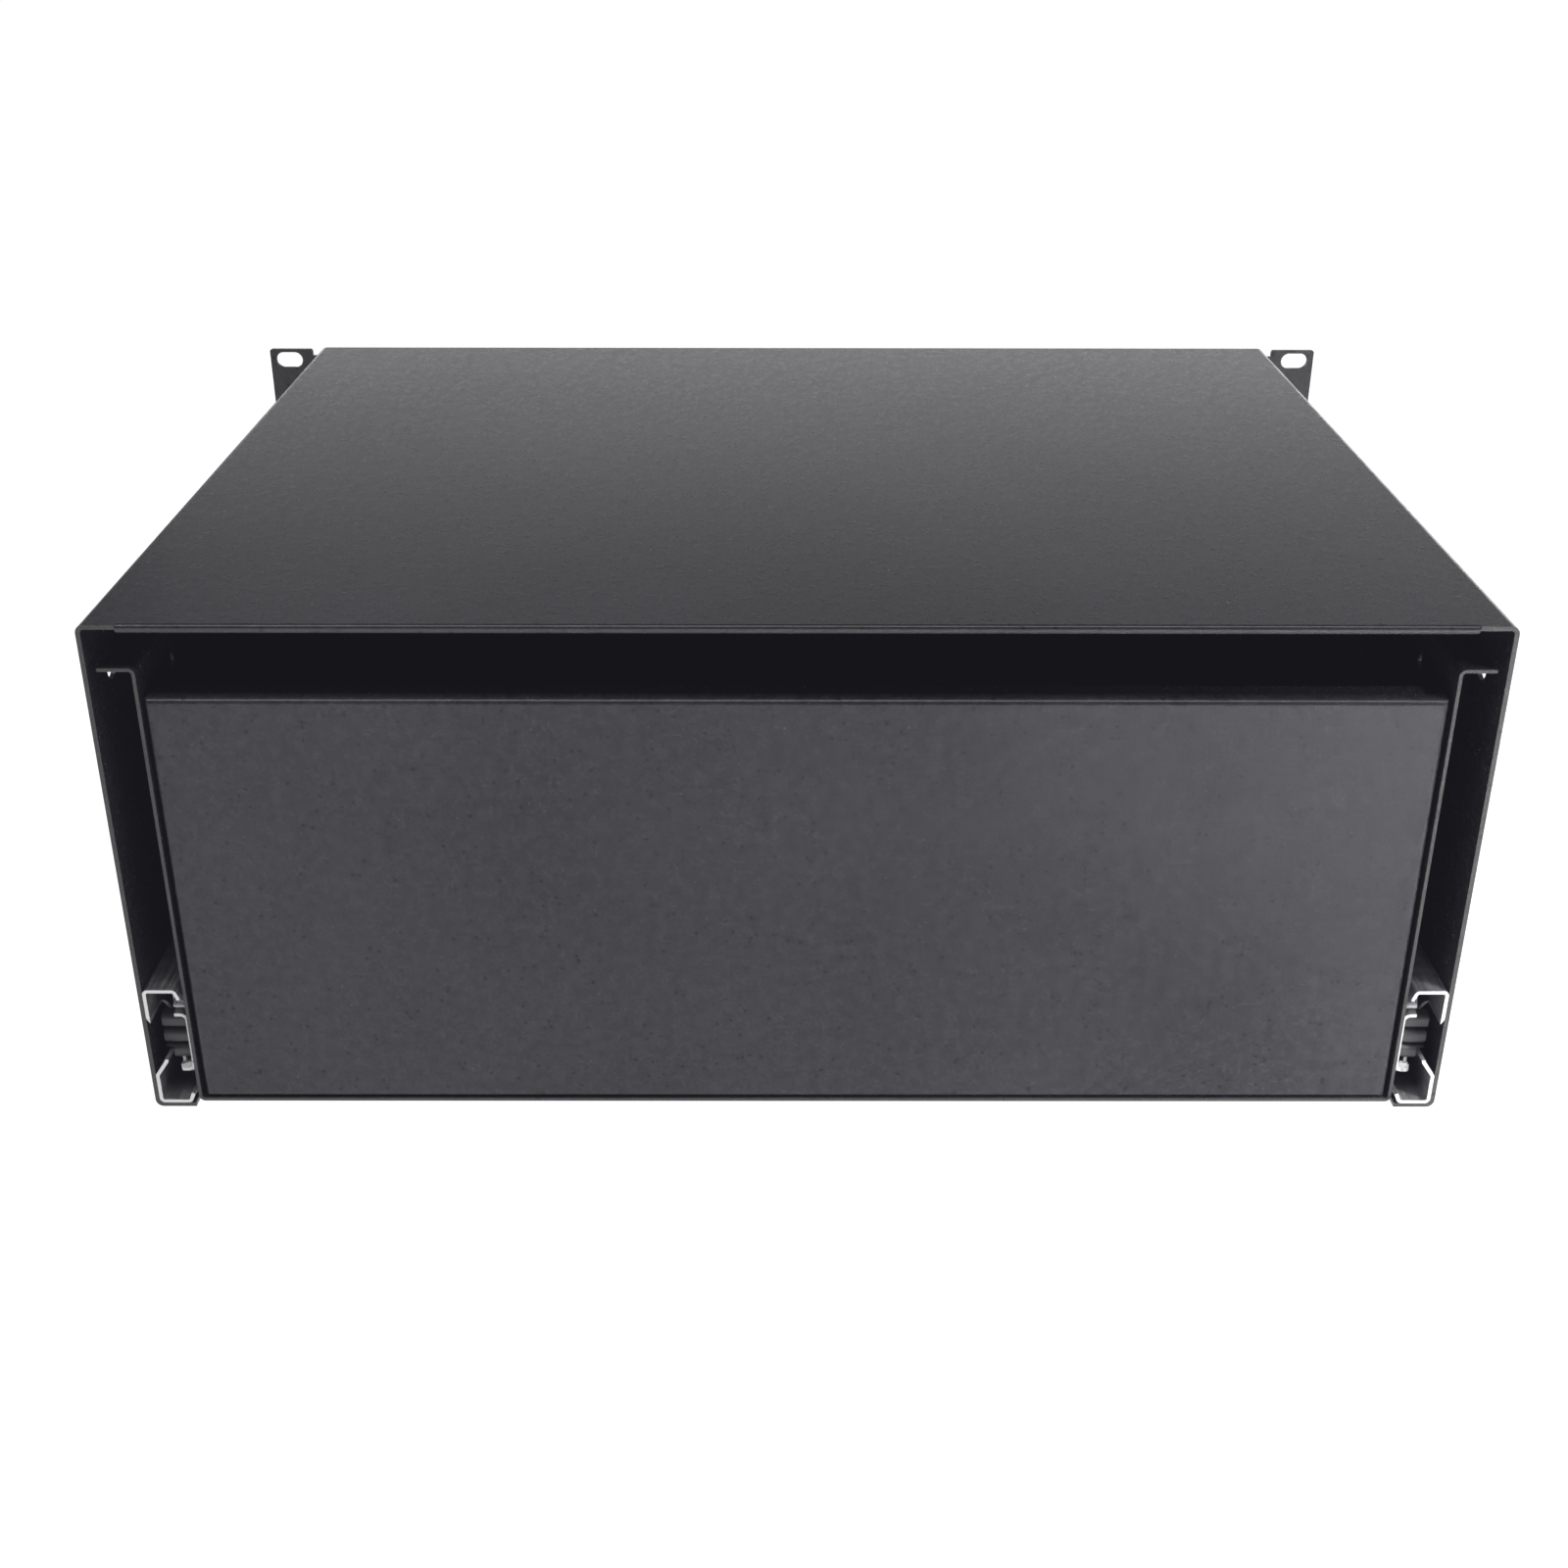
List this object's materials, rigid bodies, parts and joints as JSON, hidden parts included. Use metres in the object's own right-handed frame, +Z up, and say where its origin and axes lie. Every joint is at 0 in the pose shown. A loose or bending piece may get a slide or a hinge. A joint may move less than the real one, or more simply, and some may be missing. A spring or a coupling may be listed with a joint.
{
  "type": "rack storage drawer",
  "caption": "Locking storage drawer for a 19 inch rack: folded steel sleeve with rack ears, open at the back and below, and a drawer on telescopic ball-bearing slides.",
  "frame": {"origin": "centre of the four rack-ear slots, on the rear face of the ears, where they meet the rack's posts", "axes": "+X to the right seen from the front, +Y towards the back of the rack, +Z up"},
  "size_m": [0.4826, 0.3882, 0.176],
  "materials": {
    "sleeve_coat": "black textured powder coat, satin",
    "drawer_coat": "black textured powder coat, satin",
    "panel_coat": "black textured powder coat, satin",
    "slide_zinc": "bright zinc-plated steel with cut edges",
    "cage_steel": "thin zinc-plated steel",
    "ball_steel": "polished steel",
    "bumper_plastic": "grey moulded plastic",
    "lever_plastic": "black moulded plastic",
    "handle_coat": "black powder coat, satin",
    "screw_black": "black-plated steel",
    "screw_zinc": "zinc-plated steel",
    "lock_chrome": "bright chrome-plated zinc",
    "lock_zinc": "zinc-plated steel",
    "key_nickel": "nickel-plated brass, satin"
  },
  "bodies": {
    "housing": {"housing_shell": "sleeve_coat", "lock_strike": "sleeve_coat", "slide_outer_left": "slide_zinc", "slide_outer_right": "slide_zinc", "housing_screws_left": "screw_black", "housing_screws_right": "screw_black", "rear_bumper_left": "bumper_plastic", "rear_bumper_right": "bumper_plastic"},
    "drawer": {"drawer_tray": "drawer_coat", "drawer_back": "drawer_coat", "drawer_inner_front": "drawer_coat", "front_panel": "panel_coat", "slide_inner_left": "slide_zinc", "slide_inner_right": "slide_zinc", "tray_screws_left": "screw_zinc", "tray_screws_right": "screw_zinc", "handle_left": "handle_coat", "handle_right": "handle_coat", "handle_screws": "screw_zinc", "lock_barrel": "lock_chrome", "lock_nut": "lock_zinc"},
    "lock_turning": {"lock_plug": "lock_chrome", "key": "key_nickel", "lock_cam": "lock_zinc", "cam_screw": "screw_zinc"},
    "middle_left": {"slide_middle_left": "slide_zinc"},
    "outer_cage_body_left": {"outer_cage_left": "cage_steel", "outer_balls_left": "ball_steel"},
    "inner_cage_body_left": {"inner_cage_left": "cage_steel", "inner_balls_left": "ball_steel"},
    "middle_right": {"slide_middle_right": "slide_zinc"},
    "outer_cage_body_right": {"outer_cage_right": "cage_steel", "outer_balls_right": "ball_steel"},
    "inner_cage_body_right": {"inner_cage_right": "cage_steel", "inner_balls_right": "ball_steel"},
    "lever_left": {"release_lever_left": "lever_plastic"},
    "lever_right": {"release_lever_right": "lever_plastic"}
  },
  "joints": [
    {"name": "drawer_slide", "type": "slide", "parent": "housing", "child": "drawer", "axis": [0, -1, 0], "range_m": [0, 0.33]},
    {"name": "slide_middle_left_run", "type": "slide", "parent": "housing", "child": "middle_left", "axis": [0, -1, 0], "range_m": [0, 0.165]},
    {"name": "outer_cage_left_run", "type": "slide", "parent": "housing", "child": "outer_cage_body_left", "axis": [0, -1, 0], "range_m": [0, 0.0825]},
    {"name": "inner_cage_left_run", "type": "slide", "parent": "housing", "child": "inner_cage_body_left", "axis": [0, -1, 0], "range_m": [0, 0.2475]},
    {"name": "slide_middle_right_run", "type": "slide", "parent": "housing", "child": "middle_right", "axis": [0, -1, 0], "range_m": [0, 0.165]},
    {"name": "outer_cage_right_run", "type": "slide", "parent": "housing", "child": "outer_cage_body_right", "axis": [0, -1, 0], "range_m": [0, 0.0825]},
    {"name": "inner_cage_right_run", "type": "slide", "parent": "housing", "child": "inner_cage_body_right", "axis": [0, -1, 0], "range_m": [0, 0.2475]},
    {"name": "lock_turn", "type": "hinge", "parent": "drawer", "child": "lock_turning", "pos_m": [0, 0, 0.057], "axis": [0, 1, 0], "range_deg": [0, 90]},
    {"name": "release_lever_left_tilt", "type": "hinge", "parent": "drawer", "child": "lever_left", "pos_m": [-0.2064, 0.071, -0.064], "axis": [1, 0, 0], "range_deg": [-4, 4], "stiffness_Nm_per_rad": 0.05},
    {"name": "release_lever_right_tilt", "type": "hinge", "parent": "drawer", "child": "lever_right", "pos_m": [0.2064, 0.071, -0.064], "axis": [1, 0, 0], "range_deg": [-4, 4], "stiffness_Nm_per_rad": 0.05}
  ],
  "couplings": [
    {"joint": "slide_middle_left_run", "follows": "drawer_slide", "ratio": 0.5},
    {"joint": "outer_cage_left_run", "follows": "drawer_slide", "ratio": 0.25},
    {"joint": "inner_cage_left_run", "follows": "drawer_slide", "ratio": 0.75},
    {"joint": "slide_middle_right_run", "follows": "drawer_slide", "ratio": 0.5},
    {"joint": "outer_cage_right_run", "follows": "drawer_slide", "ratio": 0.25},
    {"joint": "inner_cage_right_run", "follows": "drawer_slide", "ratio": 0.75}
  ]
}
